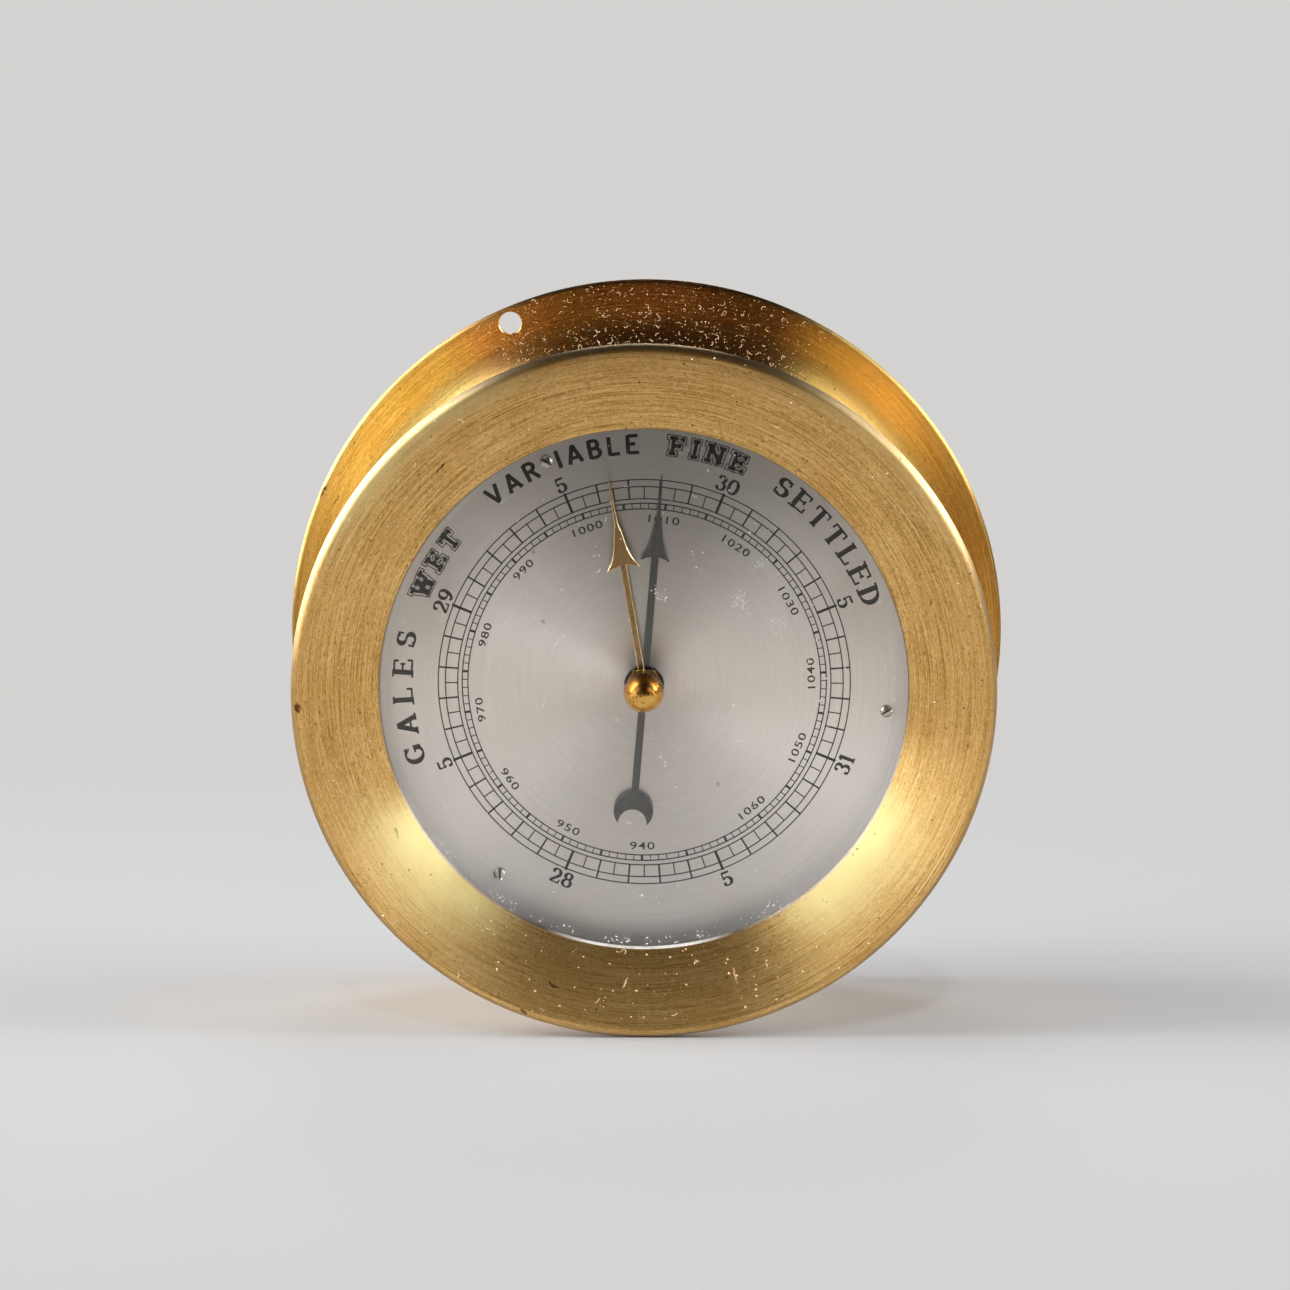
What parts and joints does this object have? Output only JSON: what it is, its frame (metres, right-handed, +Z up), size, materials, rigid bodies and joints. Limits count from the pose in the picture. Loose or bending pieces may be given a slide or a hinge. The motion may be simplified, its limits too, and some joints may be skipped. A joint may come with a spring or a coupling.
{
  "type": "aneroid barometer",
  "caption": "Round brass bulkhead barometer with a flared wall flange, dished bezel, silvered dial, pointer, set hand and aneroid movement.",
  "frame": {"origin": "centre of the ring of wall holes, on the wall flange's flat back face", "axes": "+Z up, -Y out of the dial towards the viewer, +Y into the wall, +X to the right as the dial is read"},
  "size_m": [0.1616, 0.0756, 0.1614],
  "materials": {
    "brushed_brass": "lathe-brushed, aged",
    "plain_brass": "plain turned and milled",
    "polished_brass": "polished",
    "steel": "bright",
    "blued_steel": "blued",
    "silvered": "silvered and spun",
    "glass": "clear",
    "rubber": "matt"
  },
  "bodies": {
    "case": {"case_shell": "brushed_brass", "seat_ring": "plain_brass", "back_cover": "plain_brass", "back_screws": "plain_brass", "bezel": "brushed_brass", "glass": "glass", "glass_gasket": "rubber", "sight_ring": "silvered", "dial": "silvered", "dial_pillars": "plain_brass", "dial_screws": "steel", "knob_bush": "plain_brass", "bush_nut": "plain_brass", "hairspring": "steel", "hairspring_stud": "plain_brass", "top_bridge": "plain_brass", "train_pillars": "plain_brass", "train_screws": "steel", "train_plate": "plain_brass", "frame_pillars": "plain_brass", "base_plate": "plain_brass", "base_posts": "plain_brass", "base_screws": "steel", "post_screws": "plain_brass", "capsule": "steel", "capsule_foot": "plain_brass", "main_spring": "blued_steel", "spring_bridge": "plain_brass", "bridge_screws": "steel", "spring_clamp": "plain_brass", "clamp_screws": "steel", "rock_brackets": "plain_brass", "bracket_screws": "steel", "adjusting_bush": "plain_brass"},
    "set_hand": {"knob": "polished_brass", "knob_spindle": "steel", "spring_washer": "steel", "set_hand": "polished_brass"},
    "pointer": {"pointer": "blued_steel", "pointer_hub": "blued_steel", "pointer_arbor": "steel", "hairspring_collet": "plain_brass"},
    "sector": {"sector_gear": "plain_brass", "sector_arbor": "steel"},
    "rocker": {"rock_shaft": "steel", "link_lower_pin": "steel"},
    "lever": {"main_lever": "plain_brass", "compensation_strip": "blued_steel", "lever_rivets": "steel", "capsule_stud": "plain_brass", "stud_key": "steel", "link_upper_pin": "steel"},
    "link": {"link_rod": "steel"},
    "adjuster": {"adjusting_screw": "steel"}
  },
  "joints": [
    {"name": "pointer_turn", "type": "hinge", "parent": "case", "child": "pointer", "pos_m": [0, 0, 0], "axis": [0, 1, 0], "range_deg": [-184, 135], "stiffness_Nm_per_rad": 0.0003, "deforming": ["hairspring"]},
    {"name": "sector_turn", "type": "hinge", "parent": "case", "child": "sector", "pos_m": [0.02019, 0, -0.017], "axis": [0, 1, 0], "range_deg": [-13.6, 18.5]},
    {"name": "rocker_turn", "type": "hinge", "parent": "case", "child": "rocker", "pos_m": [0.02019, -0.036, 0], "axis": [0, 0, 1], "range_deg": [-8.8, 12]},
    {"name": "lever_tilt", "type": "hinge", "parent": "case", "child": "lever", "pos_m": [-0.02651, -0.0418, 0], "axis": [0, 0, 1], "range_deg": [-0.9, 0.7], "deforming": ["main_spring", "capsule"]},
    {"name": "link_turn", "type": "hinge", "parent": "lever", "child": "link", "pos_m": [0.01699, -0.041, 0], "axis": [0, 0, 1], "range_deg": [-0.7, 0.9]},
    {"name": "set_hand_turn", "type": "hinge", "parent": "case", "child": "set_hand", "pos_m": [0, 0, 0], "axis": [0, 1, 0], "continuous": true},
    {"name": "adjuster_turn", "type": "hinge", "parent": "case", "child": "adjuster", "pos_m": [-0.03126, 0, 0], "axis": [0, 1, 0], "range_deg": [-360, 360]}
  ],
  "couplings": [
    {"joint": "sector_turn", "follows": "pointer_turn", "ratio": -0.1},
    {"joint": "rocker_turn", "follows": "pointer_turn", "ratio": -0.064},
    {"joint": "lever_tilt", "follows": "pointer_turn", "ratio": 0.004708},
    {"joint": "link_turn", "follows": "pointer_turn", "ratio": -0.004708}
  ]
}
